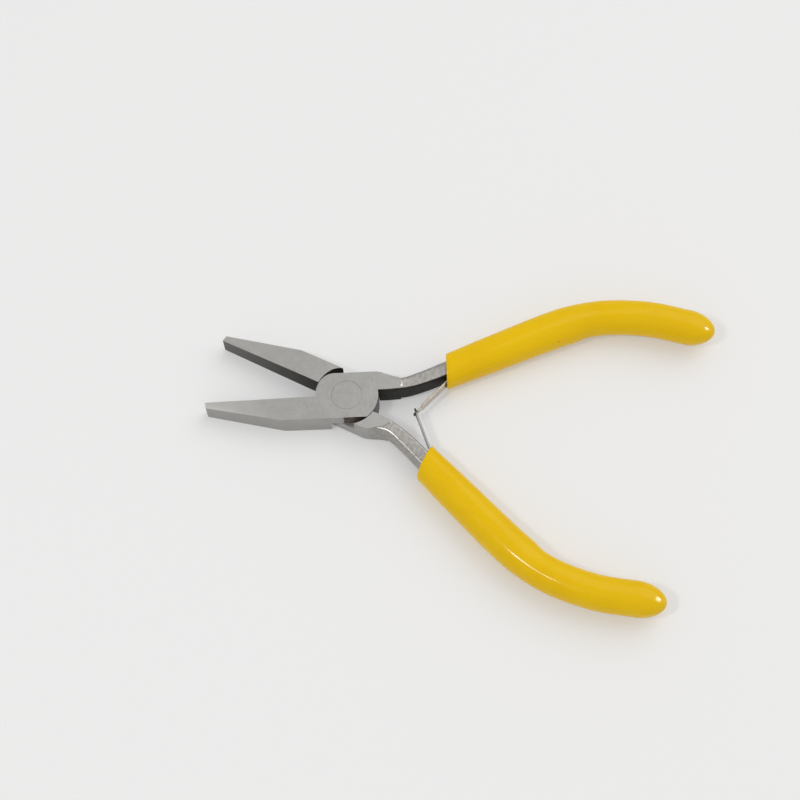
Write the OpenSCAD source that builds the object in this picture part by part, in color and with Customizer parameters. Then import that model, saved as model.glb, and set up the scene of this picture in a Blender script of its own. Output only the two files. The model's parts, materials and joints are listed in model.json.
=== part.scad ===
// Flat nose pliers for jewellery work: two steel halves lapped on a flush rivet,
// with soft sleeve grips and a pair of leaf springs that open the jaws.
//
// The pliers lie flat with +Z up. The origin is on the pivot axis, at the lower ground face of
// the joint. The nose points along -X and the handles along +X. Each half is drawn in its own
// frame, with its gripping face along -X, its jaw at -Y and its handle at +Y, and is then
// turned out by half of the opening angle.

/* [Joint] */
// Thickness of the ground steel at the joint
joint_t = 6.2; // [5.8:0.1:6.6]
// Radius of the round lap around the pivot
lap_r = 7.3; // [7.1:0.1:7.5]
// Distance from the pivot to each ground side of the lap
lap_side = 5.7; // [5.5:0.1:5.9]
// Radius of the rivet's flush heads
rivet_head_r = 3.6; // [3.3:0.1:3.8]
// Radius of the rivet's shank
rivet_shank_r = 2.4; // [2:0.1:2.6]
// Angle between the jaws as the springs hold them
open_angle = 28.6; // [26:0.2:30]

/* [Jaws] */
// Length from the pivot to the nose
jaw_l = 33; // [30:0.5:36]
// Width of one jaw at the nose
nose_w = 1.45; // [1.2:0.05:2]
// Width of one jaw at its widest
jaw_w = 5.65; // [5.4:0.05:5.8]
// Distance from the pivot to the bend in the jaw's outer edge
jaw_bend = 14.9; // [13:0.1:17]
// Steel ground off each face at the nose
nose_taper = 0.7; // [0.3:0.1:1]

/* [Handles] */
// Distance from the pivot to the mouths of the grips
grip_start = 23.4; // [23:0.1:24]
// Width of a grip at its mouth
grip_mouth_w = 7.8; // [7.6:0.1:8.2]
// Width of a grip at the palm swell
grip_swell_w = 8.7; // [8.4:0.1:9.1]
// Width of a grip past the bend
grip_rear_w = 8.1; // [7.8:0.1:8.4]
// Height of a grip as a share of its width
grip_flatness = 1; // [0.96:0.01:1.02]

/* [Springs] */
// Thickness of the leaf strip
leaf_t = 0.45; // [0.35:0.05:0.5]
// Width of the leaf strip
leaf_w = 2.6; // [2.4:0.1:3]
// Distance from the pivot to the point where the leaves cross
leaf_cross = 16.3; // [15.8:0.1:17]

/* [Hidden] */
$fn = 64;

mid = joint_t / 2;
half_open = open_angle / 2;
lap_gap = 0.03;
shoulder_gap = 0.15;
// Radius of the lap's corner that passes the other half's shoulder, and where its centre stands
lap_corner_r = 4;
lap_corner_y = lap_side - lap_corner_r;
lap_corner_x = sqrt((lap_r - lap_corner_r) ^ 2 - lap_corner_y ^ 2);
lap_round_y = lap_corner_y * lap_r / (lap_r - lap_corner_r);
face_gap = 0.05;
running_fit = 0.04;
rivet_rim = 0.3;
rivet_head_t = 1.1;
taper_start = 11;
beyond = 20;

// Centre line of a handle in its half's own frame. The neck runs straight back from the joint,
// the shank slopes out, and the rear of the handle curves back in.
handle_line = [
    [8.4, 3.15], [12.6, 2.7], [17.5, 4], [24.5, 6.7], [34, 10.3], [45, 14.5],
    [53, 17.25], [61, 18.45], [71, 17.6], [80, 15], [86.35, 13.25]
];
last = len(handle_line) - 1;
// Distance from the pivot against half the width, and against half the height, of the steel
tang_half_w = [[8, 2.05], [12.5, 1.5], [16, 1.68], [20, 1.8], [23.5, 1.9], [36, 1.9], [78, 1.4]];
tang_half_t = [[8, 2.98], [12.5, 2.85], [16, 2.7], [23.5, 2.6], [36, 2.35], [78, 1.8]];
// How square the steel's edges are: crisp along the inner wall, rounded along the outer one
tang_inner_square = [[22, 9], [30, 2.8]];
tang_outer_square = [[9, 5], [22, 4], [30, 2.8]];
tang_end = 78;
tang_sides = 28;
tang_rings = 44;

// Distance from the pivot against half the width of a grip
grip_half_w = [
    [grip_start, grip_mouth_w / 2], [32, 4.15], [47, grip_swell_w / 2], [51, grip_swell_w / 2],
    [58, grip_rear_w / 2], [90, grip_rear_w / 2]
];
grip_sides = 24;
grip_rings = 34;
grip_end_l = 6;
// The cavity is loose around the leaf's foot and tight on the steel beyond it
cavity_loose_end = 31.4;
cavity_tight_start = 36;
cavity_half_w = 3.05;
cavity_half_t = 3.15;
loose_square = [3, 3];
tight_square = [2.8, 2.8];
bore_sides = 20;
press = 0.03;

foot_l = 6.8;
foot_clear = 0.1;
foot_rivet_at = 4;
foot_rivet_r = 0.6;
foot_rivet_head_r = 1.1;
foot_rivet_head_t = 0.5;
foot_rivet_depth = 1.6;
fork_l = 2;
fork_slot = 1.5;
tongue_w = 0.9;
tip_past = 0.7;

function turned(p, a) = [p.x * cos(a) - p.y * sin(a), p.x * sin(a) + p.y * cos(a)];

// A smooth curve through the centre line's points, with t counting the points
function curve(t) =
    let (i = min(floor(t), last - 1), u = t - i)
    let (b = handle_line[i], c = handle_line[i + 1])
    let (a = i > 0 ? handle_line[i - 1] : 2 * b - c)
    let (d = i < last - 1 ? handle_line[i + 2] : 2 * c - b)
    (2 * b + (c - a) * u + (2 * a - 5 * b + 4 * c - d) * u ^ 2 + (3 * b - a - 3 * c + d) * u ^ 3) / 2;

// The curve's own normal, which points away from the pliers' centre line
function normal(t) =
    let (d = curve(min(t + 0.01, last)) - curve(max(t - 0.01, 0)))
    [-d.y, d.x] / norm(d);

// The value of t at a distance x from the pivot, found by halving
function t_at(x, lo = 0, hi = last, n = 24) =
    let (m = (lo + hi) / 2)
    n == 0 ? m : curve(m).x < x ? t_at(x, m, hi, n - 1) : t_at(x, lo, m, n - 1);

// A power that keeps its sign, which makes a rounded oblong of a circle
function keep_sign(v, e) = sign(v) * abs(v) ^ e;

// One ring: it stands on the direction "out", with half sizes w and h. "square" gives its outer
// and its inner side a value from 2, an ellipse, upwards, a rounded oblong.
function ring(c, out, w, h, square, sides) = [
    for (j = [0:sides - 1])
        let (a = 360 * (j + 0.5) / sides)
        let (e = 2 / (cos(a) > 0 ? square[0] : square[1]))
        let (p = c + out * w * keep_sign(cos(a), e))
        [p.x, p.y, mid + h * keep_sign(sin(a), e)]
];

// A closed solid through rings that have the same number of points
module skin(rings) {
    sides = len(rings[0]);
    top = (len(rings) - 1) * sides;
    polyhedron(
        points = [for (r = rings) each r],
        faces = concat(
            [[for (j = [0:sides - 1]) j]],
            [for (i = [0:len(rings) - 2]) for (j = [0:sides - 1])
                let (k = (j + 1) % sides, a = i * sides)
                each [[a + j, a + sides + j, a + k], [a + k, a + sides + j, a + sides + k]]],
            [[for (j = [sides - 1:-1:0]) top + j]]
        )
    );
}

// A ring cut square across the pliers at the mouth, and square to the handle further on
function handle_ring(t, w, h, square, sides, cut = 1) =
    let (n = normal(t), out = cut * n + (1 - cut) * [0, 1], o = out / norm(out))
    ring(curve(t), o, w / (o * n), h, square, sides);

// The shank of a half, from inside the neck to near the end of the grip, with more of its rings
// on the bare stretch
module tang() {
    t_end = t_at(tang_end);
    skin([for (i = [0:tang_rings])
        let (t = t_end * (i / tang_rings) ^ 1.5, x = curve(t).x)
        let (square = [lookup(x, tang_outer_square), lookup(x, tang_inner_square)])
        handle_ring(t, lookup(x, tang_half_w), lookup(x, tang_half_t), square, tang_sides)]);
}

// The rivet's outline, made larger all round by "fit"
module rivet_shape(fit, over) {
    rotate_extrude()
        polygon([
            [0, -over], [rivet_head_r + fit, -over], [rivet_head_r + fit, rivet_rim + fit],
            [rivet_shank_r + fit, rivet_head_t + fit], [rivet_shank_r + fit, joint_t - rivet_head_t - fit],
            [rivet_head_r + fit, joint_t - rivet_rim - fit], [rivet_head_r + fit, joint_t + over],
            [0, joint_t + over]
        ]);
}

// Outline of the ground jaw, from the lap to the nose
module jaw_outline() {
    polygon([
        [-jaw_l, -face_gap], [-jaw_l + 0.2, -nose_w], [-jaw_bend, -jaw_w], [-4, -lap_side],
        [0, -lap_side], [0, -face_gap]
    ]);
}

// The round lap with its two ground sides. The corner that passes the other half's shoulder is
// rounded more.
module lap_outline() {
    intersection() {
        circle(r = lap_r, $fn = 128);
        union() {
            translate([-beyond, -lap_side]) square([2 * beyond, lap_side + lap_round_y]);
            translate([-lap_corner_x, 0]) square([beyond, lap_side]);
            translate([-lap_corner_x, lap_corner_y]) circle(r = lap_corner_r, $fn = 96);
        }
    }
}

// Room for the other half's lap, which passes close to this half's shoulders
module lap_room() {
    intersection() {
        circle(r = lap_r + shoulder_gap, $fn = 128);
        translate([-beyond, -lap_round_y]) square(2 * beyond);
    }
    translate([-lap_corner_x, -lap_corner_y]) circle(r = lap_corner_r + shoulder_gap, $fn = 96);
    translate([-lap_corner_x, -beyond]) square([2 * beyond, beyond]);
}

// The ground flat of the neck, which ends in a different line on its two faces
module neck_outline(end_points) {
    polygon(concat([[0, lap_side], [0, 1.05], [9.5, 1.05]], end_points, [[8.1, 5.45], [6.9, lap_side]]));
}

// Steel above the ground faces of the nose, and the same below them
module nose_grind() {
    slope = atan(nose_taper / (jaw_l - taper_start));
    for (side = [0, 1])
        translate([-taper_start, -beyond / 2, side * joint_t])
            mirror([0, 0, side])
                rotate([0, slope, 0])
                    translate([-2 * beyond, 0, -beyond])
                        cube([2 * beyond, beyond, beyond]);
}

// One half in its own frame, with its lap on top
module half(fit) {
    difference() {
        union() {
            linear_extrude(joint_t) jaw_outline();
            linear_extrude(joint_t) lap_outline();
            translate([0, 0, mid])
                linear_extrude(mid)
                    neck_outline([[12.4, 1.2], [12.7, 2.5], [12.3, 3.95], [10.7, 4.35]]);
            linear_extrude(mid)
                neck_outline([[12.4, 1.2], [11.3, 3.2]]);
            tang();
        }
        translate([0, 0, -beyond]) linear_extrude(beyond + mid + lap_gap / 2) lap_room();
        rivet_shape(fit, 1);
        nose_grind();
        spring_rivet_place() cylinder(r = foot_rivet_r, h = foot_rivet_depth, $fn = 32);
    }
}

module grip() {
    t0 = t_at(grip_start);
    t_in = t_at(grip_start - 0.6);
    t_loose = t_at(cavity_loose_end);
    t_tight = t_at(cavity_tight_start);
    t_end = t_at(tang_end + 0.2);
    end_from = last - t_at(curve(last).x - grip_end_l);
    difference() {
        // The outside, rounded over its last few millimetres
        skin([for (i = [0:grip_rings])
            let (s = i / grip_rings, t = t0 + (last - t0) * (1 - (1 - s) ^ 1.4))
            let (x = curve(t).x, u = max(0, 1 - (last - t) / end_from))
            let (close = sqrt(max(0.004, 1 - u ^ 1.7)), w = lookup(x, grip_half_w) * close)
            handle_ring(t, w, w * grip_flatness, [2.15, 2.15], grip_sides, min(1, i / 5))]);
        // The bore: loose around the spring's foot, then tight on the steel
        skin(concat(
            [for (i = [0:6])
                let (t = t_in + (t_loose - t_in) * i / 6)
                handle_ring(t, cavity_half_w, cavity_half_t, loose_square, bore_sides, min(1, i / 4))],
            [for (i = [0:18])
                let (t = t_tight + (t_end - t_tight) * i / 18, x = curve(t).x)
                let (w = lookup(x, tang_half_w) - press, h = lookup(x, tang_half_t) - press)
                handle_ring(t, w, h, tight_square, bore_sides)]
        ));
    }
}

// Where the leaf leaves the steel, in the half's own frame, and which way its foot runs
foot_t = t_at(grip_start);
foot_offset = lookup(grip_start, tang_half_w) + foot_clear + leaf_t / 2;
bend_at = curve(foot_t) - normal(foot_t) * foot_offset;
foot_angle = atan2(-normal(foot_t).x, normal(foot_t).y);
// The same place with the half turned out, and the leaf's run from it to the crossing
bend_open = turned(bend_at, half_open);
leaf_run = [leaf_cross, 0] - bend_open;
leaf_l = norm(leaf_run);
leaf_angle = atan2(leaf_run.y, leaf_run.x) - half_open;
bend_clear = 0.4;

// A frame on the foot's outer side at its rivet, with Z into the steel
module spring_rivet_place() {
    translate([bend_at.x, bend_at.y, mid])
        rotate(foot_angle)
            translate([foot_rivet_at, leaf_t / 2, 0])
                rotate([-90, 0, 0])
                    children();
}

// The flat end of a leaf that lies on the steel inside the grip
module spring_foot() {
    difference() {
        translate([bend_at.x, bend_at.y, mid])
            rotate(foot_angle)
                translate([bend_clear, -leaf_t / 2, -leaf_w / 2])
                    cube([foot_l - bend_clear, leaf_t, leaf_w]);
        spring_rivet_place()
            translate([0, 0, -1])
                cylinder(r = foot_rivet_r, h = 2, $fn = 32);
    }
}

module spring_rivet() {
    spring_rivet_place() {
        translate([0, 0, -leaf_t])
            cylinder(r = foot_rivet_r, h = leaf_t + foot_rivet_depth, $fn = 32);
        translate([0, 0, -leaf_t - foot_rivet_head_t])
            cylinder(r = foot_rivet_head_r, h = foot_rivet_head_t, $fn = 48);
    }
}

// The free run of a leaf, with a tongue or a fork at its tip
module spring_leaf(forked) {
    full_l = forked ? leaf_l + tip_past : leaf_l - fork_l;
    translate([bend_at.x, bend_at.y, mid])
        rotate(leaf_angle)
            difference() {
                union() {
                    translate([0, 0, -leaf_w / 2]) cylinder(r = leaf_t / 2, h = leaf_w, $fn = 24);
                    translate([0, -leaf_t / 2, -leaf_w / 2]) cube([full_l, leaf_t, leaf_w]);
                    translate([0, -leaf_t / 2, -tongue_w / 2])
                        cube([forked ? 1 : leaf_l + tip_past, leaf_t, tongue_w]);
                }
                if (forked)
                    translate([leaf_l - fork_l, -leaf_t, -fork_slot / 2])
                        cube([beyond, 2 * leaf_t, fork_slot]);
            }
}

// The half with its lap on top is turned out one way
module on_top() {
    rotate(half_open) children();
}

// The other half is the same piece turned over and turned out the other way
module on_bottom() {
    rotate(-half_open) translate([0, 0, joint_t]) rotate([180, 0, 0]) children();
}

module top_lap_half() { color("silver") on_top() half(0); }
module bottom_lap_half() { color("silver") on_bottom() half(running_fit); }
module pivot_rivet() { color("lightgray") rivet_shape(0, 0); }
module top_half_grip() { color("gold") on_top() grip(); }
module bottom_half_grip() { color("gold") on_bottom() grip(); }
module top_half_spring_foot() { color("tan") on_top() spring_foot(); }
module top_half_spring_leaf() { color("tan") on_top() spring_leaf(false); }
module top_half_spring_rivet() { color("gray") on_top() spring_rivet(); }
module bottom_half_spring_foot() { color("darkgray") on_bottom() spring_foot(); }
module bottom_half_spring_leaf() { color("darkgray") on_bottom() spring_leaf(true); }
module bottom_half_spring_rivet() { color("gray") on_bottom() spring_rivet(); }

top_lap_half();
bottom_lap_half();
pivot_rivet();
top_half_grip();
bottom_half_grip();
top_half_spring_foot();
top_half_spring_leaf();
top_half_spring_rivet();
bottom_half_spring_foot();
bottom_half_spring_leaf();
bottom_half_spring_rivet();
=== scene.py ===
import json
import math

import bmesh
import bpy
import numpy as np
from mathutils import Matrix, Vector


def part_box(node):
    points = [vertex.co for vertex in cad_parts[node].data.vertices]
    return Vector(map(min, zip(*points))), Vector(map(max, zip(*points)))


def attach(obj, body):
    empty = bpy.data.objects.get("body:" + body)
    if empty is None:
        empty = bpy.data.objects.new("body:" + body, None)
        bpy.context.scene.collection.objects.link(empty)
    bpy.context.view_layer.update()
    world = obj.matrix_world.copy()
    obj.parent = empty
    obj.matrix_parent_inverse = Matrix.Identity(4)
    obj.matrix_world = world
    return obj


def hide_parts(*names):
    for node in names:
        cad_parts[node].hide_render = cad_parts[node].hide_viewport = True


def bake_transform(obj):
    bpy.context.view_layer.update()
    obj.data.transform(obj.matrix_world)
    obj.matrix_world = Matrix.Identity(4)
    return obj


# Flat nose pliers for jewellery work: satin ground steel halves on a flush rivet, yellow soft
# sleeve grips, and crossed leaf springs, lying on a pale table.
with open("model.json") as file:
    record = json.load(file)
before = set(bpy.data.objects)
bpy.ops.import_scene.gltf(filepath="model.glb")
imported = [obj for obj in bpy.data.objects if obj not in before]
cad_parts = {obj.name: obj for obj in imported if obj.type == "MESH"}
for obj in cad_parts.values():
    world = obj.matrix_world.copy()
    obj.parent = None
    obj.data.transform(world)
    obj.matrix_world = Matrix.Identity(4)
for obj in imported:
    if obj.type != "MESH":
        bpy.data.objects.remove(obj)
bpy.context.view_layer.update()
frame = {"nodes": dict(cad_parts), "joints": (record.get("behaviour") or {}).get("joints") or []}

# ------------------------------------------------------------------------------ the camera
# A long lens on a copy stand, leaning back a little from straight above, so that the pliers'
# top faces and the walls that face the viewer both show.
mm = 0.001
aim = Vector((11.48, 3.93, 0)) * mm
camera_azimuth = math.radians(17.86)
camera_elevation = math.radians(65)
camera_roll = math.radians(-5.8)
camera_distance = 460.8 * mm

lens = bpy.data.cameras.new("copy_stand_camera")
lens.lens = 88.65
lens.clip_start = 0.01
camera = bpy.data.objects.new("copy_stand_camera", lens)
bpy.context.scene.collection.objects.link(camera)
towards_camera = Vector((
    math.sin(camera_azimuth) * math.cos(camera_elevation),
    -math.cos(camera_azimuth) * math.cos(camera_elevation),
    math.sin(camera_elevation),
))
level = towards_camera.to_track_quat("Z", "Y").to_matrix().to_4x4()
camera.matrix_world = (
    Matrix.Translation(aim + towards_camera * camera_distance)
    @ level
    @ Matrix.Rotation(camera_roll, 4, "Z")
)
bpy.context.scene.camera = camera
bpy.context.scene.view_settings.view_transform = "Standard"

# ------------------------------------------------------------------- the two steel halves
# Each half is one drop forging of carbon steel, and the two are alike, one turned over on the
# other. Jaws and laps are ground flat after riveting, the shanks keep their plated forged skin,
# and the gripping faces and inner walls keep the dark scale of hardening.
# The lap's pocket, its round wall and the joint under the other half's lap are painted dark as
# shade, and the jaws are painted lighter as light.
joint_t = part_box("pivot_rivet")[1].z
closing_turn = next(j for j in frame["joints"] if j["name"] == "jaw_hinge")["range_deg"][1]
half_turn = math.radians(closing_turn) / 2
lap_r = 7.3 * mm
rivet_head_r = 3.6 * mm
jaw_from = -6.9 * mm
neck_from = 7.1 * mm
shank_from = 10 * mm
bench_wear = 0.11 * mm
shoulder_round = 0.4 * mm
sharp_edge = math.radians(42)
# How dark the gripping faces are with black scale, the lap's round wall with painted shade,
# and the rivet's rim with dirt
grip_face_scale = 0.93
lap_wall_shade = 0.8
rim_dirt = 0.55


class Signal:
    """The value of one shader socket. Python's operators add the Math nodes that work it out."""

    def __init__(self, finish, socket):
        self.finish = finish
        self.socket = socket

    def math(self, operation, first, second):
        """One Math node that works on two Signals or numbers."""
        return self.finish.node("Math", {"operation": operation}, {0: first, 1: second})

    def __add__(self, other):
        return self.math("ADD", self, other)

    def __sub__(self, other):
        return self.math("SUBTRACT", self, other)

    def __mul__(self, other):
        return self.math("MULTIPLY", self, other)

    def __radd__(self, other):
        return self.math("ADD", other, self)

    def __rsub__(self, other):
        return self.math("SUBTRACT", other, self)

    def __rmul__(self, other):
        return self.math("MULTIPLY", other, self)

    def over(self, low, high):
        """0 below low, 1 above high, and a smooth rise between them."""
        return self.finish.node(
            "MapRange", {"interpolation_type": "SMOOTHSTEP"}, {"Value": self, 1: low, 2: high}
        )


class Finish:
    """One material with one Principled shader. Its unvarying numbers are set on the shader."""

    def __init__(self, name, constants):
        self.material = bpy.data.materials.new(name)
        self.material.use_nodes = True
        self.tree = self.material.node_tree
        self.shader = self.tree.nodes["Principled BSDF"]
        for socket, value in constants.items():
            self.shader.inputs[socket].default_value = value

    def node(self, kind, settings, sockets, output=0):
        """Adds one node: its type, its settings, and its sockets' values or Signals."""
        made = self.tree.nodes.new("ShaderNode" + kind)
        for key, value in settings.items():
            setattr(made, key, value)
        for key, value in sockets.items():
            if isinstance(value, Signal):
                self.tree.links.new(value.socket, made.inputs[key])
            else:
                made.inputs[key].default_value = value
        return Signal(self, made.outputs[output])

    def noise(self, place, size, detail=3, roughness=0.5, stretch=(1, 1, 1)):
        """Soft noise whose features are about `size` across, longer where stretch is above 1."""
        scale = tuple(1 / (size * longer) for longer in stretch)
        fitted = self.node("Mapping", {}, {"Vector": place, "Scale": scale})
        return self.node(
            "TexNoise", {}, {"Vector": fitted, "Scale": 1, "Detail": detail, "Roughness": roughness}
        )

    def blend(self, share, first, second):
        """The first colour where share is 0 and the second where it is 1."""
        return self.node(
            "Mix", {"data_type": "VECTOR"}, {"Factor": share, 4: first, 5: second}, output=1
        )

    def shade(self, colour, value):
        """A colour made lighter or darker by a value around 1."""
        return self.node("VectorMath", {"operation": "SCALE"}, {0: colour, "Scale": value})

    def bump(self, height, depth):
        """A normal from a height that runs from 0 to 1, which stands for `depth` metres."""
        return self.node("Bump", {}, {"Height": height, "Strength": 1, "Distance": depth})

    def feed(self, sockets):
        """Links Signals to the shader's sockets of these names."""
        for name, value in sockets.items():
            self.tree.links.new(value.socket, self.shader.inputs[name])


def in_half(finish, turned_over):
    """Object coordinates turned into the half's own frame: gripping face along -X at Y = 0."""
    place = finish.node("TexCoord", {}, {}, output=3)
    turn = (math.pi, 0, -half_turn) if turned_over else (0, 0, -half_turn)
    lift = (0, 0, joint_t) if turned_over else (0, 0, 0)
    return finish.node("Mapping", {}, {"Vector": place, "Rotation": turn, "Location": lift})


def ground_and_plated_steel(name, turned_over):
    """Satin grinding on the flats, plated forged skin on the shank, dark scale on inner walls,
    painted shade in the lap's pocket and joint, and painted light on the jaws.
    """
    steel = Finish(name, {"Metallic": 1.0, "IOR": 1.5})
    place = in_half(steel, turned_over)
    x = steel.node("SeparateXYZ", {}, {0: place}, output=0)
    y = steel.node("SeparateXYZ", {}, {0: place}, output=1)
    z = steel.node("SeparateXYZ", {}, {0: place}, output=2)
    # Each share is 1 in its own region of the half and 0 away from it
    from_mid = steel.node("Math", {"operation": "ABSOLUTE"}, {0: z - joint_t / 2})
    on_face = from_mid.over(joint_t / 2 - 0.09 * mm, joint_t / 2 - 0.02 * mm)
    nose = 1 - x.over(-13 * mm, -10 * mm)
    towards_tip = 1 - x.over(-37 * mm, -7 * mm)
    plated = x.over(7.6 * mm, 9.5 * mm) * (1 - on_face)
    # Painted shadow with a rust tint: the walls in the joint, under the other half's lap, are
    # painted dark
    in_joint = x.over(-1.1 * mm, -0.6 * mm) * (1 - y.over(-4 * mm, -2 * mm)) * (1 - on_face)
    # Hardening scale, painted shade in the lap's pocket, and dirt round the rivet, as marked on the
    # faces
    scale = steel.node("Attribute", {"attribute_name": "scale_shade_and_dirt"}, {}, output=2)
    scale = scale * (1 - 0.3 * towards_tip)
    flat = steel.node("Attribute", {"attribute_name": "flat_face"}, {}, output=2)

    across = steel.noise(place, 0.2 * mm, 4, 0.75, stretch=(1, 7, 7))
    along = steel.noise(place, 0.2 * mm, 4, 0.75, stretch=(9, 1, 9))
    grinding = across * (1 - nose * 0.55) + along * (nose * 0.55)
    clouds = steel.noise(place, 2.6 * mm, 4, 0.6)
    forging = steel.noise(place, 0.6 * mm, 5, 0.7, stretch=(1, 1.4, 2))
    pits = steel.noise(place, 0.34 * mm, 2, 0.5).over(0.73, 0.79)

    # Painted light: the jaw of the half with its lap on top is painted brighter towards its tip,
    # the other one hardly, and each half gets its own base brightness.
    painted_tip_light = towards_tip * flat * (0.08 if turned_over else 0.6)
    bright = 0.62 if turned_over else 0.575
    satin = steel.shade((0.412, 0.407, 0.391), bright + 0.5 * grinding + 0.22 * clouds + painted_tip_light)
    nickel = steel.shade((0.365, 0.349, 0.328), 0.3 + 1.4 * forging)
    bare = steel.shade(steel.blend(plated, satin, nickel), 1 - 0.4 * pits)
    # The dark share is the scale, the painted shade and the painted shadow in the joint
    dark_share = steel.node("Math", {"operation": "MAXIMUM"}, {0: scale, 1: in_joint * 0.9})
    rust = in_joint * clouds.over(0.45, 0.6)
    black = steel.shade((0.03, 0.03, 0.027), 0.7 + 0.6 * clouds)
    dark = steel.blend(rust * 0.7, black, (0.13, 0.08, 0.045))
    steel.feed({
        "Base Color": steel.blend(dark_share, bare, dark),
        "Roughness": 0.32 + 0.13 * grinding + dark_share * 0.2 - plated * (0.12 - 0.14 * forging),
        "Normal": steel.bump(
            grinding * (1 - plated) * 0.14 + plated * forging - pits * 0.3, 0.03 * mm
        ),
    })
    return steel.material


def own_frame(vectors, turned_over):
    """X and Y of places or directions as seen from the half's own frame: turned back in by half
    of the opening, and for the turned-over half first mirrored in Y."""
    side = -1 if turned_over else 1
    cos, sin = math.cos(half_turn), math.sin(half_turn)
    x, y = vectors[..., 0], vectors[..., 1] * side
    return np.stack([x * cos + y * sin, y * cos - x * sin], axis=-1)


def on_shank_shoulder(edge, turned_over):
    """True for an edge between a flat of the shank and its outer wall, which the forging die
    leaves round."""
    ends = own_frame(np.array([v.co for v in edge.verts]), turned_over)
    walls = [f.normal for f in edge.link_faces if abs(f.normal.z) < 0.4]
    flats = [f.normal for f in edge.link_faces if abs(f.normal.z) > 0.85]
    if not walls or not flats or ends[:, 0].min() < shank_from:
        return False
    return own_frame(np.array(walls[0]), turned_over)[1] > 0.4


def worn_copy(node_name, name, turned_over):
    """A half's own mesh with its loose triangles joined and its flats cleared of needless edges.
    Two bevels follow, of the shank's outer shoulders and of every other sharp edge. Their widths
    are upper limits: the clamp on overlaps leaves the first under 0.1 mm wide and brings the
    second down to nothing, so it only adds edge loops for the shading."""
    mesh = frame["nodes"][node_name].data.copy()
    mesh.name = name
    shape = bmesh.new()
    shape.from_mesh(mesh)
    bmesh.ops.remove_doubles(shape, verts=shape.verts, dist=0.002 * mm)
    bmesh.ops.dissolve_limit(
        shape, angle_limit=math.radians(0.4), verts=shape.verts, edges=shape.edges
    )
    for width, segments, shoulders_only in ((shoulder_round, 4, True), (bench_wear, 2, False)):
        sharp = [
            e for e in shape.edges
            if e.is_manifold and e.calc_face_angle() > sharp_edge
            and (not shoulders_only or on_shank_shoulder(e, turned_over))
        ]
        bmesh.ops.bevel(
            shape, geom=sharp, offset=width, offset_type="OFFSET", segments=segments,
            profile=0.5, affect="EDGES", clamp_overlap=True,
        )
    shape.to_mesh(mesh)
    shape.free()
    mesh.materials.clear()
    mesh.polygons.foreach_set("use_smooth", np.ones(len(mesh.polygons), bool))
    mesh.set_sharp_from_angle(angle=math.radians(40))
    piece = bpy.data.objects.new(name, mesh)
    bpy.context.scene.collection.objects.link(piece)
    even = piece.modifiers.new("flat_faces_stay_flat", "WEIGHTED_NORMAL")
    even.keep_sharp = True
    return piece


def mark_scale_and_shade(piece, turned_over):
    """How dark each face is made: the wall that looks inwards between the handles keeps black
    hardening scale, the shoulders by the lap get black painted shade, the gripping face keeps
    dark grey scale, the lap's round wall gets dark grey painted shade, and dirt lies in the rim
    round the rivet. All are found from where a face looks and lies in the half's own frame. The
    faces that look up or down are marked as flats."""
    count = len(piece.data.polygons)
    look = np.empty(count * 3)
    piece.data.polygons.foreach_get("normal", look)
    middle = np.empty(count * 3)
    piece.data.polygons.foreach_get("center", middle)
    look, middle = look.reshape(-1, 3), middle.reshape(-1, 3)
    look_xy = own_frame(look, turned_over)
    middle_xy = own_frame(middle, turned_over)
    from_pivot = np.hypot(*middle_xy.T)
    # Both rise from nothing to full as the face turns to look across the pliers
    inner_wall = (middle_xy[:, 0] > neck_from) * np.clip(-look_xy[:, 1] * 2.2 - 0.9, 0, 1)
    gripping = (middle_xy[:, 0] < jaw_from) * np.clip(look_xy[:, 1] * 3 - 2, 0, 1)
    upright = abs(look[:, 2]) < 0.5
    outwards = (look_xy * middle_xy).sum(axis=1) / from_pivot
    # Painted shade: the shoulder walls of the lap's pocket are painted black
    shoulder = upright * (from_pivot > 6.6 * mm) * (from_pivot < 7.8 * mm) * (outwards < -0.5)
    # Painted shade: the lap's round wall is painted dark grey
    lap_wall = upright * (abs(from_pivot - lap_r) < 0.15 * mm) * (outwards > 0.9)
    rim = (abs(from_pivot - rivet_head_r) < 0.14 * mm) * (abs(look[:, 2]) < 0.97)
    scale = piece.data.attributes.new("scale_shade_and_dirt", "FLOAT", "FACE")
    scale.data.foreach_set("value", np.maximum.reduce([
        inner_wall, gripping * grip_face_scale, shoulder, lap_wall * lap_wall_shade, rim * rim_dirt
    ]))
    flat_face = piece.data.attributes.new("flat_face", "FLOAT", "FACE")
    flat_face.data.foreach_set("value", np.where(abs(look[:, 2]) > 0.9, 1.0, 0.0))


for node_name, body, turned_over in (
    ("top_lap_half", "top_half", False),
    ("bottom_lap_half", "bottom_half", True),
):
    steel_half = worn_copy(node_name, "forged_" + node_name, turned_over)
    mark_scale_and_shade(steel_half, turned_over)
    steel_half.data.materials.append(ground_and_plated_steel(node_name + "_steel", turned_over))
    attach(steel_half, body)
    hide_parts(node_name)

# ----------------------------------------------------------------------- the pivot rivet
# A turned steel rivet with a cone head on each face, peened into the halves and then ground off
# level with them, so that only a fine circle shows.
rivet_shank_r = 2.4 * mm
rivet_rim = 0.3 * mm
rivet_head_t = 1.1 * mm
rivet_chamfer = 0.06 * mm


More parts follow.
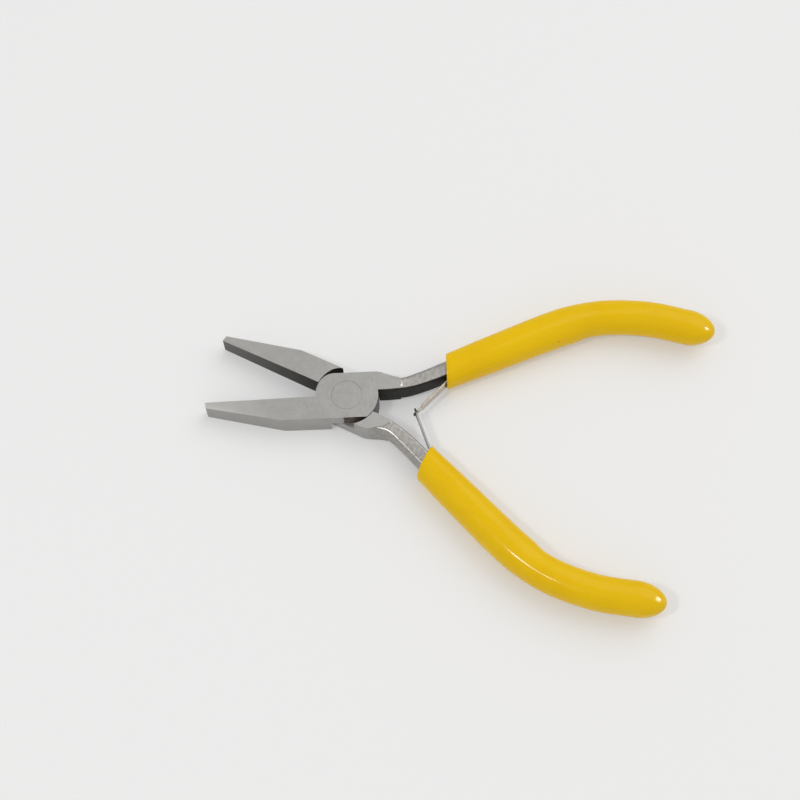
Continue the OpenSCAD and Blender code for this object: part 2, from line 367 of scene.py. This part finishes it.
def closed_skin(name, rings):
    """A closed mesh through rings of points, an array of ring x side x 3. Each ring is joined to
    the next by quads, and each end is closed by a fan about the middle of its ring."""
    count, sides = rings.shape[:2]
    ends = rings[[0, -1]].mean(axis=1)
    points = np.concatenate([rings.reshape(-1, 3), ends])
    step = np.arange(sides)
    after = (step + 1) % sides
    ring_start = np.arange(count - 1)[:, None] * sides
    here, beside = (ring_start + step).ravel(), (ring_start + after).ravel()
    quads = np.stack([here, beside, beside + sides, here + sides], axis=1)
    first = np.stack([after, step, np.full(sides, count * sides)], axis=1)
    final = (count - 1) * sides
    last = np.stack([final + step, final + after, np.full(sides, count * sides + 1)], axis=1)
    mesh = bpy.data.meshes.new(name)
    mesh.from_pydata(points.tolist(), [], quads.tolist() + first.tolist() + last.tolist())
    shape = bmesh.new()
    shape.from_mesh(mesh)
    bmesh.ops.recalc_face_normals(shape, faces=shape.faces)
    shape.to_mesh(mesh)
    shape.free()
    mesh.polygons.foreach_set("use_smooth", np.ones(len(mesh.polygons), bool))
    piece = bpy.data.objects.new(name, mesh)
    bpy.context.scene.collection.objects.link(piece)
    return piece


def turned_rings(profile, sides):
    """Rings of a turned piece: each (radius, height) of the profile is carried round the Z axis."""
    around = np.linspace(0, 2 * math.pi, sides, endpoint=False)
    radius, height = np.array(profile).T
    return np.stack([
        radius[:, None] * np.cos(around), radius[:, None] * np.sin(around),
        np.broadcast_to(height[:, None], (len(profile), sides)),
    ], axis=2)


lower_end = [
    (0.6 * rivet_head_r, 0), (rivet_head_r - rivet_chamfer, 0), (rivet_head_r, rivet_chamfer),
    (rivet_head_r, rivet_rim), (rivet_shank_r, rivet_head_t),
]
upper_end = [(r, joint_t - z) for r, z in reversed(lower_end)]
rivet = closed_skin("pivot_rivet_ground", turned_rings(lower_end + upper_end, 96))
rivet.data.set_sharp_from_angle(angle=math.radians(30))
rivet_look = np.empty(len(rivet.data.polygons) * 3)
rivet.data.polygons.foreach_get("normal", rivet_look)
# Dirt lies in the two chamfers, whose faces lean at 45 degrees
on_chamfer = abs(abs(rivet_look[2::3]) - math.sqrt(0.5)) < 0.1
rivet_scale = rivet.data.attributes.new("scale_shade_and_dirt", "FLOAT", "FACE")
rivet_scale.data.foreach_set("value", on_chamfer * rim_dirt)
rivet.data.materials.append(bpy.data.materials["top_lap_half_steel"])
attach(rivet, "top_half")
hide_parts("pivot_rivet")

# ------------------------------------------------------------------------ the two grips
# Soft PVC sleeves, moulded in one piece with a closed round end and pushed on to the shanks.
# They are a rounded square in section, swell a little for the palm, and are cut square across
# the pliers at the mouth, where the wall shows.

# The handle's centre line in the half's own frame, as the steel inside it runs, in mm
handle_line = np.array([
    (8.4, 3.15), (12.6, 2.7), (17.5, 4), (24.5, 6.7), (34, 10.3), (45, 14.5),
    (53, 17.25), (61, 18.45), (71, 17.6), (80, 15), (86.35, 13.25),
])
grip_start = 23.4
grip_end_l = 6.0
grip_sides = 96
# The bore is loose round the spring's foot, up to loose_to, and tight on the steel from
# tight_from. Its half sizes are pairs, across the handle and upright.
loose_to = 31.4
tight_from = 36
bore_end = 78.2
throat_half = (3.05, 3.15)
throat_back_half = (1.95, 2.4)
bore_front_half = (1.87, 2.32)
bore_back_half = (1.37, 1.77)
mouth_half = 3.9
# The power of each superellipse: 2 is an ellipse, and more is squarer
bore_square = 2.8
throat_square = 3.0
outside_square = 2.2
# Over this length behind the mouth the sections turn from square across the pliers to square
# across the handle
cut_l = 9
# How far a corner of a table of sizes is rounded off to each side
ease_reach = 1.8


def along_handle(t):
    """Points and normals of the smooth curve through the centre line's points: each stretch is
    the cubic that leaves a point along the line between its two neighbours."""
    padded = np.vstack([
        2 * handle_line[0] - handle_line[1], handle_line, 2 * handle_line[-1] - handle_line[-2]
    ])
    i = np.clip(np.floor(t).astype(int), 0, len(handle_line) - 2)
    u = (t - i)[:, None]
    a, b, c, d = (padded[i + k] for k in range(4))
    point = (2 * b + (c - a) * u + (2 * a - 5 * b + 4 * c - d) * u**2
             + (3 * b - a - 3 * c + d) * u**3) / 2
    run = ((c - a) + 2 * (2 * a - 5 * b + 4 * c - d) * u + 3 * (3 * b - a - 3 * c + d) * u**2) / 2
    run /= np.linalg.norm(run, axis=1)[:, None]
    return point, np.stack([-run[:, 1], run[:, 0]], axis=1)


def t_at(x):
    """Where along the centre line it reaches x, in mm."""
    t = np.linspace(0, len(handle_line) - 1, 4001)
    return np.interp(x, along_handle(t)[0][:, 0], t)


def sleeve_rings(t, outer, inner, high, square, cut):
    """Rings round the handle: superellipses whose outer, inner and vertical half sizes are given
    in mm. cut is 0 where a ring stands square across the pliers, 1 where it is square to the
    handle."""
    point, normal = along_handle(t)
    across = cut[:, None] * normal + (1 - cut[:, None]) * np.array([0.0, 1.0])
    across /= np.linalg.norm(across, axis=1)[:, None]
    lean = (across * normal).sum(axis=1)
    around = np.linspace(0, 2 * math.pi, grip_sides, endpoint=False)
    cos, sin = np.cos(around)[None, :], np.sin(around)[None, :]
    wide = np.where(cos > 0, outer[:, None], inner[:, None])
    power = square[:, None]
    radius = (abs(cos / wide) ** power + abs(sin / high[:, None]) ** power) ** (-1 / power)
    out = radius * cos / lean[:, None]
    rings = np.empty((len(t), grip_sides, 3))
    rings[:, :, :2] = point[:, None, :] + across[:, None, :] * out[:, :, None]
    rings[:, :, 2] = radius * sin
    return rings * mm + (0, 0, joint_t / 2)


def eased(x, table):
    """A value looked up at x in (x, value) pairs, with the corners of the table rounded off."""
    at, value = np.array(table).T
    spread = np.linspace(-ease_reach, ease_reach, 9)
    weight = np.cos(spread / ease_reach * math.pi / 2) ** 2 + 0.02
    return sum(w * np.interp(x + s, at, value) for s, w in zip(spread, weight)) / weight.sum()


# The bore, from its blind end back to the loose mouth
bore_t = np.linspace(t_at(bore_end), t_at(tight_from), 24)
throat_t = np.linspace(t_at(tight_from - 1), t_at(grip_start), 28)
bore_x = along_handle(bore_t)[0][:, 0]
throat_x = along_handle(throat_t)[0][:, 0]
bore_w, bore_h = (
    np.interp(bore_x, (tight_from, 78), sizes) for sizes in zip(bore_front_half, bore_back_half)
)
throat_w, throat_h = (
    np.interp(throat_x, (grip_start, loose_to, tight_from), sizes)
    for sizes in zip(throat_half, throat_half, throat_back_half)
)
for half_size in (throat_w, throat_h):
    half_size[-3:] += (0.0, 0.05, 0.16)
# The rounded rim of the mouth, and the outside to the closed end, where the rings crowd
rim_bulge = np.array((0.1, 0.35, 0.5, 0.55, 0.5, 0.32, 0.0)) * 0.028
rim_t = t_at(grip_start) - rim_bulge
rim_share = np.array((0.3, 0.42, 0.52, 0.62, 0.75, 0.88, 1.0))
rim_w, rim_h = (half + (mouth_half - half) * rim_share for half in throat_half)
end_t = len(handle_line) - 1
towards_end = 1 - (1 - np.linspace(0, 1, 171)[1:]) ** 1.5
outside_t = t_at(grip_start) + (end_t - t_at(grip_start)) * towards_end
outside_x = along_handle(outside_t)[0][:, 0]
end_share = np.clip((outside_x - outside_x[-1]) / grip_end_l + 1, 0, 1)
closing = np.sqrt(1 - end_share**1.7 * 0.9995)
outside_outer = eased(
    outside_x, [(grip_start, 3.88), (32, 4.14), (47, 4.3), (58, 4.0), (90, 4.01)]
)
outside_inner = eased(
    outside_x, [(grip_start, 3.88), (32, 4.14), (47, 4.4), (53, 4.55), (55.8, 4.0), (90, 4.03)]
)
outside_high = eased(
    outside_x, [(grip_start, 3.9), (32, 4.14), (49, 4.32), (58, 4.04), (90, 4.03)]
)

grip_t = np.concatenate([bore_t, throat_t, rim_t, outside_t])
grip_cut = np.clip((along_handle(grip_t)[0][:, 0] - grip_start) / cut_l, 0, 1)
grip_rings = sleeve_rings(
    grip_t,
    np.concatenate([bore_w, throat_w, rim_w, outside_outer * closing]),
    np.concatenate([bore_w, throat_w, rim_w, outside_inner * closing]),
    np.concatenate([bore_h, throat_h, rim_h, outside_high * closing]),
    np.concatenate([
        np.full(len(bore_t), bore_square), np.full(len(throat_t), throat_square),
        throat_square + (outside_square - throat_square) * rim_share,
        np.full(len(outside_t), outside_square),
    ]),
    grip_cut,
)


def placed(points, turned_over):
    """Points of a half's own frame put where that half is at rest: turned out by half of the
    opening, and for the second half first turned over about the X axis at mid height."""
    x, y, z = np.moveaxis(points, -1, 0)
    side = -1 if turned_over else 1
    cos, sin = math.cos(half_turn), math.sin(half_turn) * side
    y, z = (-y, joint_t - z) if turned_over else (y, z)
    return np.stack([x * cos - y * sin, x * sin + y * cos, z], axis=-1)


def soft_yellow_pvc(name, turned_over):
    """Glossy plasticised PVC: a warm yellow that deepens in slow clouds, a faint pull of the
    mould along the sleeve, a fine orange peel, and the odd speck of dust in the skin."""
    pvc = Finish(name, {
        "IOR": 1.5, "Specular IOR Level": 0.05, "Coat Roughness": 0.08, "Subsurface Weight": 0.1,
        "Subsurface Radius": (1.0, 0.55, 0.1), "Subsurface Scale": 0.9 * mm,
    })
    place = in_half(pvc, turned_over)
    clouds = pvc.noise(place, 9 * mm, 2, 0.5)
    pull = pvc.noise(place, 0.8 * mm, 3, 0.5, stretch=(14, 1.5, 1.5))
    peel = pvc.noise(place, 0.45 * mm, 2, 0.4)
    specks = pvc.noise(place, 0.55 * mm, 1, 0.3).over(0.8, 0.83)
    scuff = pvc.noise(place, 3.2 * mm, 4, 0.65, stretch=(2, 1, 1)).over(0.5, 0.75)
    yellow = pvc.blend(clouds, (0.805, 0.522, 0.002), (0.742, 0.454, 0.001))
    yellow = pvc.shade(yellow, 0.97 + 0.05 * pull)
    pvc.feed({
        "Base Color": pvc.blend(specks * 0.6, yellow, (0.2, 0.12, 0.03)),
        "Roughness": 0.22 + 0.06 * pull + 0.09 * scuff,
        "Coat Weight": 0.2 - 0.12 * scuff,
        "Normal": pvc.bump(0.6 * peel + 0.9 * pull, 0.012 * mm),
    })
    return pvc.material


for node_name, body, turned_over in (
    ("top_half_grip", "top_half", False),
    ("bottom_half_grip", "bottom_half", True),
):
    grip = closed_skin(node_name + "_sleeve", placed(grip_rings, turned_over))
    grip.data.materials.append(soft_yellow_pvc(node_name + "_pvc", turned_over))
    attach(grip, body)
    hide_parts(node_name)

# ------------------------------------------------------------------ the two leaf springs
# Each is a strip of tempered spring steel, riveted flat to the shank inside the grip, bent at the
# grip's mouth and reaching to the middle, where one strip's tongue passes through the fork of
# the other. They push the handles apart.
# Sizes in mm. The strips cross at leaf_cross on the pliers' own X axis.
leaf_t = 0.45
leaf_w = 2.6
leaf_cross = 16.3
tang_half_w = 1.897
foot_clear = 0.1
foot_l = 6.8
bend_r = 0.8
fork_l = 2.0
tip_past = 0.7
tongue_w = 0.9
fork_slot = 1.5

mouth_point, mouth_normal = (v[0] for v in along_handle(np.array([t_at(grip_start)])))
bend_at = mouth_point - mouth_normal * (tang_half_w + foot_clear + leaf_t / 2)
foot_run = np.array([mouth_normal[1], -mouth_normal[0]])
bend_open = placed(np.array([*bend_at, 0.0]) * mm, False)[:2] / mm
cross_run = np.array([leaf_cross, 0]) - bend_open
leaf_l = np.linalg.norm(cross_run)
leaf_heading = math.atan2(cross_run[1], cross_run[0]) - half_turn
leaf_run = np.array([math.cos(leaf_heading), math.sin(leaf_heading)])


def bent_strip(name, along, across, kept, turned_over):
    """A flat strip cut from a sheet and bent. The sheet is a grid of cells, `along` the strip
    from its foot and `across` its width; the kept cells get a face on each side, and a wall
    where the next cell is cut away. It is then carried along two straight runs joined by a
    parabola at the bend, with the sheet's thickness along the run's normal."""
    rows, columns = kept.shape
    padded = np.pad(kept, 1)
    cell = np.arange(rows)[:, None] * (columns + 1) + np.arange(columns)[None, :]
    corners = np.stack([cell, cell + columns + 1, cell + columns + 2, cell + 1], axis=-1)
    other_side = (rows + 1) * (columns + 1)
    faces = [corners[kept], corners[kept][:, ::-1] + other_side]
    for edge, (down, right) in enumerate(((0, -1), (1, 0), (0, 1), (-1, 0))):
        beside = padded[1 + down:rows + 1 + down, 1 + right:columns + 1 + right]
        open_edge = corners[kept & ~beside][:, [edge, (edge + 1) % 4]]
        faces.append(np.concatenate([open_edge[:, ::-1], open_edge + other_side], axis=1))

    share = np.linspace(0, 1, 41)[:, None]
    bend = ((1 - share) ** 2 * foot_run + share**2 * leaf_run) * bend_r
    line = bend_at + np.vstack([foot_run * foot_l, bend, leaf_run * (leaf_l + tip_past)])
    step = np.diff(line, axis=0)
    travelled = np.concatenate([[0], np.cumsum(np.linalg.norm(step, axis=1))])
    at = np.interp(along, [0, foot_l - bend_r, along[-1]], [0, travelled[1], travelled[-1]])
    middle = np.stack([np.interp(at, travelled, line[:, k]) for k in (0, 1)], axis=1)
    run = np.gradient(middle, axis=0)
    run /= np.linalg.norm(run, axis=1)[:, None]
    normal = np.stack([-run[:, 1], run[:, 0]], axis=1)
    sides = []
    for half in (-leaf_t / 2, leaf_t / 2):
        grid = np.empty((rows + 1, columns + 1, 3))
        grid[:, :, :2] = (middle + normal * half)[:, None, :]
        grid[:, :, 2] = across[None, :]
        sides.append(grid.reshape(-1, 3))
    points = placed(np.concatenate(sides) * mm + (0, 0, joint_t / 2), turned_over)

    mesh = bpy.data.meshes.new(name)
    mesh.from_pydata(points.tolist(), [], np.concatenate(faces).tolist())
    reach = np.tile(np.repeat(along / along[-1], columns + 1), 2)
    mesh.attributes.new("reach", "FLOAT", "POINT").data.foreach_set("value", reach)
    shape = bmesh.new()
    shape.from_mesh(mesh)
    bmesh.ops.delete(shape, geom=[v for v in shape.verts if not v.link_faces], context="VERTS")
    bmesh.ops.recalc_face_normals(shape, faces=shape.faces)
    shape.to_mesh(mesh)
    shape.free()
    mesh.polygons.foreach_set("use_smooth", np.ones(len(mesh.polygons), bool))
    mesh.set_sharp_from_angle(angle=math.radians(40))
    piece = bpy.data.objects.new(name, mesh)
    bpy.context.scene.collection.objects.link(piece)
    edges = piece.modifiers.new("rolled_edges", "BEVEL")
    edges.width = 0.07 * mm
    edges.segments = 2
    edges.limit_method = "ANGLE"
    edges.angle_limit = math.radians(50)
    return piece


def spring_strip_steel(name, tint, turned_over):
    """Rolled strip: fine lines along it, a temper tint in slow patches, and tips painted dark as
    shade where the strips cross.
    """
    strip = Finish(name, {"Metallic": 1.0})
    place = in_half(strip, turned_over)
    reach = strip.node("Attribute", {"attribute_name": "reach"}, {}, output=2)
    rolled = strip.noise(place, 0.07 * mm, 3, 0.6, stretch=(6, 6, 1))
    temper = strip.noise(place, 1.7 * mm, 3, 0.6)
    bright = strip.shade(tint, 0.82 + 0.2 * rolled + 0.16 * temper)
    strip.feed({
        # Painted shade: the tips, where the strips cross, are painted near black
        "Base Color": strip.blend(reach.over(0.9, 0.975), bright, (0.05, 0.042, 0.036)),
        "Roughness": 0.26 + 0.14 * rolled,
        "Normal": strip.bump(rolled, 0.004 * mm),
    })
    return strip.material


strip_end = foot_l + leaf_l + tip_past
strip_along = np.concatenate([
    np.linspace(0, foot_l - bend_r, 9)[:-1], np.linspace(foot_l - bend_r, foot_l + bend_r, 15)[:-1],
    np.linspace(foot_l + bend_r, strip_end - tip_past - fork_l, 14)[:-1],
    np.linspace(strip_end - tip_past - fork_l, strip_end, 7),
])
strip_across = np.array([
    -leaf_w / 2, -fork_slot / 2, -tongue_w / 2, tongue_w / 2, fork_slot / 2, leaf_w / 2
])
# Of the five cells across the tip, the tongue keeps the middle one and the fork the outer two
at_tip = strip_along[:-1] >= strip_end - tip_past - fork_l - 1e-6
tongue_cells = ~at_tip[:, None] | (np.arange(5) == 2)[None, :]
fork_cells = ~at_tip[:, None] | (abs(np.arange(5) - 2) == 2)[None, :]

for body, leaf_body, kept, tint, turned_over in (
    ("top_half", "top_leaf", tongue_cells, (0.50, 0.45, 0.39), False),
    ("bottom_half", "bottom_leaf", fork_cells, (0.42, 0.42, 0.41), True),
):
    leaf = bent_strip(body + "_leaf_spring", strip_along, strip_across, kept, turned_over)
    leaf.data.materials.append(spring_strip_steel(body + "_leaf_steel", tint, turned_over))
    # The strip bends at the grip's mouth, over its own parabola
    turn_from, turn_to = (
        placed(np.array([*(bend_at + run * bend_r * 1.2), joint_t / 2 / mm]) * mm, turned_over)
        for run in (foot_run, leaf_run)
    )
    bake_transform(leaf)
    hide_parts(body + "_spring_foot", body + "_spring_leaf")

# ---------------------------------------------------------------------- the spring rivets
# A small round-headed steel rivet holds each leaf's foot to the shank, out of sight inside the
# grip. The CAD pieces stay, with a plain rolled finish.
for body, turned_over in (("top_half", False), ("bottom_half", True)):
    small_rivet = frame["nodes"][body + "_spring_rivet"]
    small_rivet.data.materials.clear()
    plain = Finish(body + "_spring_rivet_steel", {"Metallic": 1.0})
    dull = plain.noise(in_half(plain, turned_over), 0.3 * mm, 3, 0.6)
    plain.feed({
        "Base Color": plain.shade((0.4, 0.4, 0.39), 0.8 + 0.3 * dull),
        "Roughness": 0.35 + 0.2 * dull,
    })
    small_rivet.data.materials.append(plain.material)

# --------------------------------------------------------------------- the pale table
# A matt white table that glows a little, like a light box. The pliers rest on it with the two
# grips and the belly of the jaws, so it leans a little under the frame.
grip_foot = Vector((28.7 * mm, 0, joint_t / 2 - 4.16 * mm))
jaw_foot = Vector((-11 * mm, 0, -0.03 * mm))
table_lean = math.atan2(grip_foot.z - jaw_foot.z, grip_foot.x - jaw_foot.x)
table_mesh = bpy.data.meshes.new("table")
table_half = 3.0
table_mesh.from_pydata(
    [(table_half * x, table_half * y, 0) for x, y in ((-1, -1), (1, -1), (1, 1), (-1, 1))],
    [], [(0, 1, 2, 3)],
)
table = bpy.data.objects.new("table", table_mesh)
bpy.context.scene.collection.objects.link(table)
table.matrix_world = Matrix.Translation(jaw_foot) @ Matrix.Rotation(-table_lean, 4, "Y")
paper = Finish("white_table", {
    "Base Color": (0.6, 0.6, 0.6, 1), "Roughness": 0.65, "Specular IOR Level": 0.2,
    "Emission Color": (1.0, 0.995, 0.99, 1), "Emission Strength": 0.22,
})
table_mesh.materials.append(paper.material)

# ---------------------------------------------------------------------------- the light
# A white room, a broad lamp from the upper right for the soft shadow, a small fill by the lens,
# and two lamps that only shine: a long one that draws the thin lines on the lower grip and
# shank, and one low on the right that glints on the round ends.
world = bpy.data.worlds.new("white_room")
bpy.context.scene.world = world
world.use_nodes = True
world.node_tree.nodes["Background"].inputs["Color"].default_value = (1.0, 0.995, 0.99, 1)
world.node_tree.nodes["Background"].inputs["Strength"].default_value = 0.68


def lamp(name, place, size, power, along=(1, 0, 0), shine_only=False):
    """A soft oblong lamp at a place in metres from the pliers, looking at them, with its first
    side as near as it can be to the direction `along`."""
    light = bpy.data.lights.new(name, "AREA")
    light.shape = "RECTANGLE"
    light.size, light.size_y = size
    light.energy = power
    made = bpy.data.objects.new(name, light)
    bpy.context.scene.collection.objects.link(made)
    back = Vector(place).normalized()
    side = Vector(along)
    side = (side - back * side.dot(back)).normalized()
    turn = Matrix((side, back.cross(side), back)).transposed()
    made.matrix_world = Matrix.Translation(place) @ turn.to_4x4()
    made.visible_diffuse = not shine_only


def from_camera(right, up, back):
    """A direction given as the camera sees it: to its right, upwards, and towards it."""
    turn = camera.matrix_world.to_3x3()
    return (turn @ Vector((right, up, back))).normalized()


lower_handle = from_camera(0.85, -0.5, 0)
by_lens = from_camera(-0.43, 0.09, 0.90) * 0.9
lamp("broad_lamp", from_camera(0.5, 0.75, 0.6) * 1.3, (1.1, 1.1), 5.0)
lamp("fill_lamp", by_lens, (0.1, 0.1), 1.3)
lamp("line_lamp", by_lens + lower_handle * 0.08, (0.2, 0.07), 1.4, lower_handle, shine_only=True)
lamp("end_lamp", from_camera(0.9, 0.2, 0.42) * 0.9, (0.26, 0.26), 9, shine_only=True)
